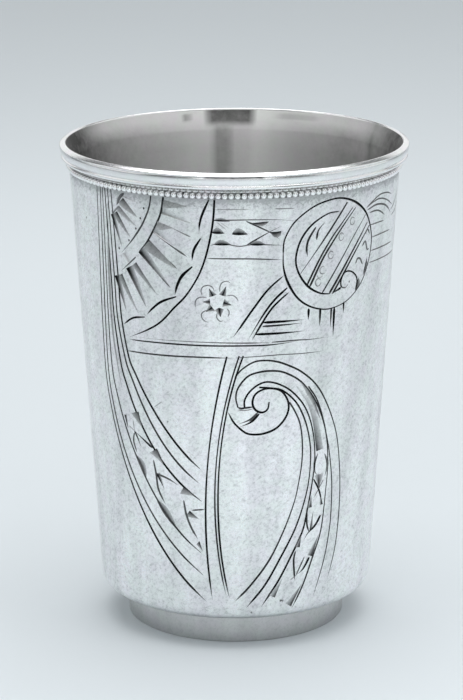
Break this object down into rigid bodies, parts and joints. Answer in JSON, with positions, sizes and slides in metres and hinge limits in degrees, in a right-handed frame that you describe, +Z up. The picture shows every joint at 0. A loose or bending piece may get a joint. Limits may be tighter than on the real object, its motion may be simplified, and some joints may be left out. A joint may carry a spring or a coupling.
{
  "type": "kiddush cup",
  "caption": "Small tapering silver beaker for kiddush wine, with a bead moulding under the lip, engraved ornament round the wall and a plain ring foot.",
  "frame": {"origin": "middle of the foot's underside, on the cup's axis", "axes": "+Z up the cup's axis; -Y faces the front of the engraving; +X to the right of it"},
  "size_m": [0.0538, 0.054, 0.076],
  "materials": {
    "engraved_silver": "satin-worn silver with bright-cut engraving darkened by tarnish",
    "bright_silver": "silver kept bright by handling, dark between the beads",
    "foot_silver": "softly worn silver, a little greyer than the cup"
  },
  "bodies": {
    "root": {"cup_body": "engraved_silver", "bead_moulding": "bright_silver", "foot_ring": "foot_silver"}
  },
  "joints": []
}
